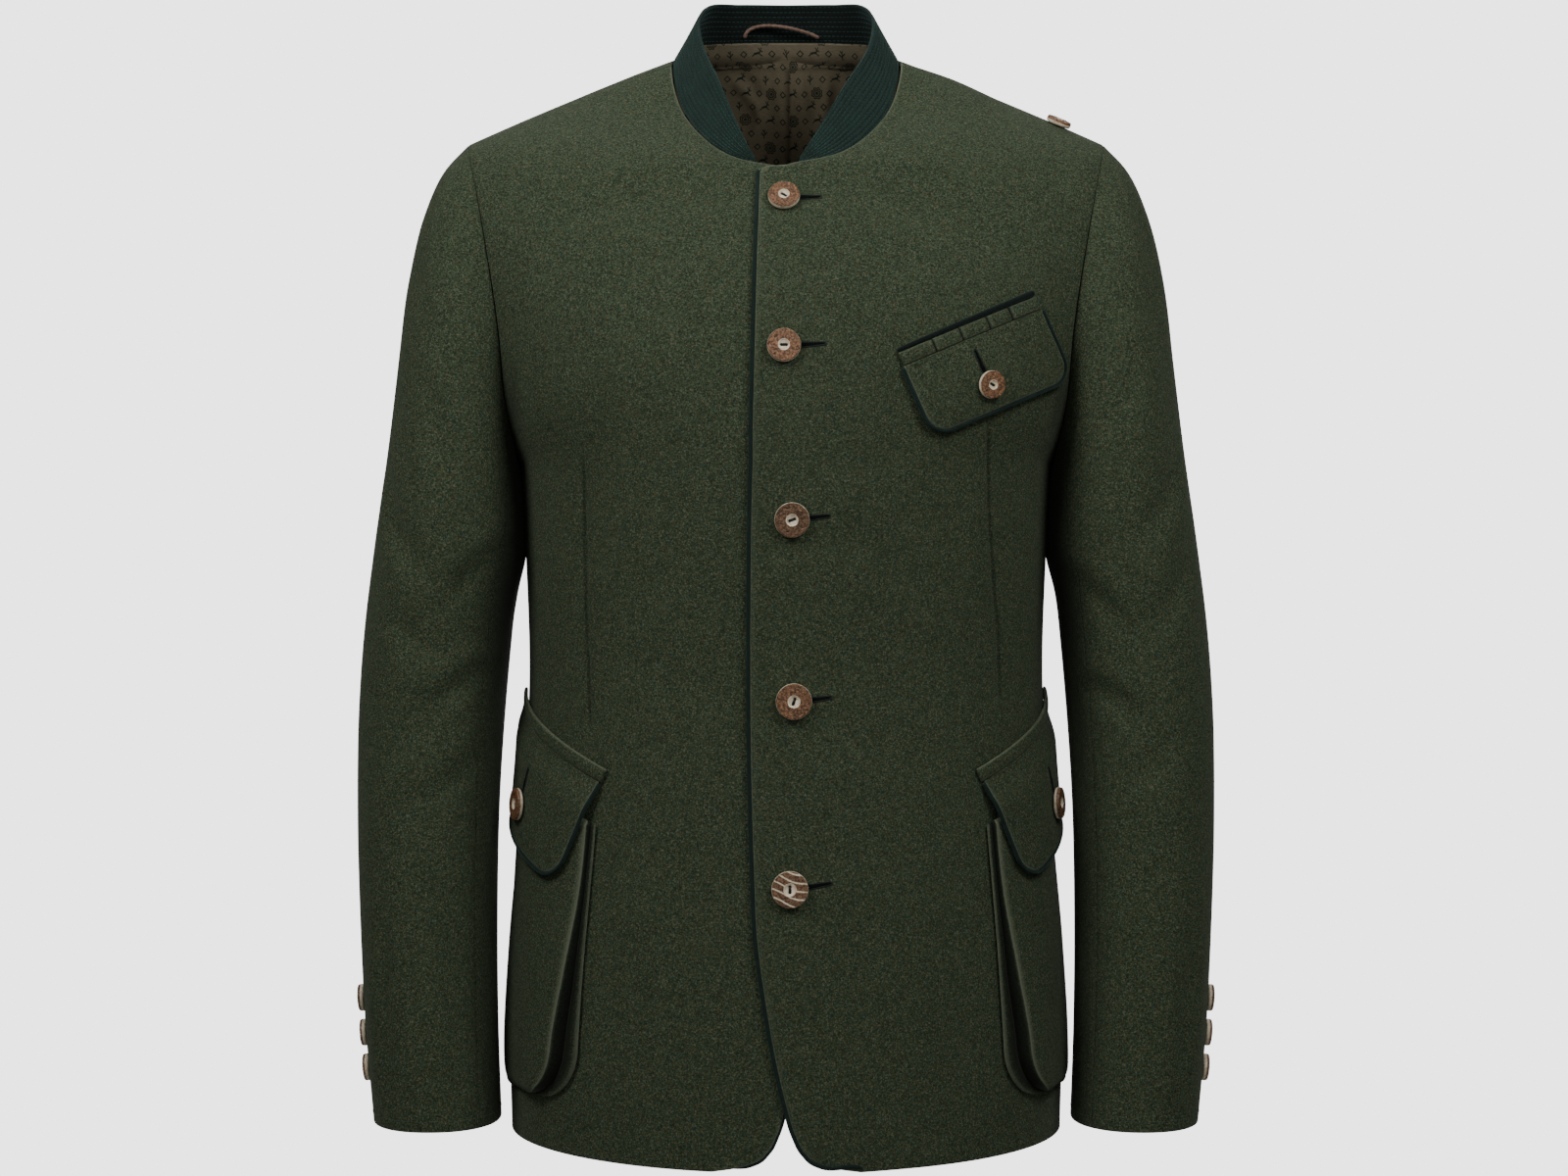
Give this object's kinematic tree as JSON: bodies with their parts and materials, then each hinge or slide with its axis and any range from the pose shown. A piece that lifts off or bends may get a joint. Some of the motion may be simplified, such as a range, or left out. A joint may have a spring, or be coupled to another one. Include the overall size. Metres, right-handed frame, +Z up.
{
  "type": "tyrolean loden jacket",
  "caption": "Tyrolean loden jacket, filled out as if worn: stand collar, piped front edges and flaps, bellows side pockets, slanted chest pocket and stag-horn buttons.",
  "frame": {"origin": "middle of the neck opening, level with the points where the shoulder seams meet the collar", "axes": "+Z up along the jacket, from hem to collar; -Y is the jacket's front; +X is the wearer's left"},
  "size_m": [0.578, 0.27, 0.776],
  "materials": {
    "loden": "fulled wool with a short nap",
    "green_cloth": "matt felted wool",
    "lining": "satin lining",
    "horn": "polished stag horn with bark",
    "cord": "twisted cord"
  },
  "bodies": {
    "root": {"back": "loden", "front_left": "loden", "front_right": "loden", "sleeve_left_upper": "loden", "sleeve_left_under": "loden", "sleeve_right_upper": "loden", "sleeve_right_under": "loden", "chest_band": "loden", "chest_flap": "loden", "side_bag_left": "loden", "side_bag_right": "loden", "side_welt_left": "loden", "side_welt_right": "loden", "side_flap_left": "loden", "side_flap_right": "loden", "collar": "green_cloth", "edge_piping_left": "green_cloth", "edge_piping_right": "green_cloth", "chest_piping": "green_cloth", "chest_flap_piping": "green_cloth", "side_flap_piping_left": "green_cloth", "side_flap_piping_right": "green_cloth", "neck_lining": "lining", "hanger_loop": "cord", "button_front_1": "horn", "button_front_2": "horn", "button_front_3": "horn", "button_front_4": "horn", "button_front_5": "horn", "button_chest": "horn", "button_side_left": "horn", "button_side_right": "horn", "button_shoulder": "horn", "button_sleeve_left_1": "horn", "button_sleeve_left_2": "horn", "button_sleeve_left_3": "horn", "button_sleeve_right_1": "horn", "button_sleeve_right_2": "horn", "button_sleeve_right_3": "horn"}
  },
  "joints": []
}
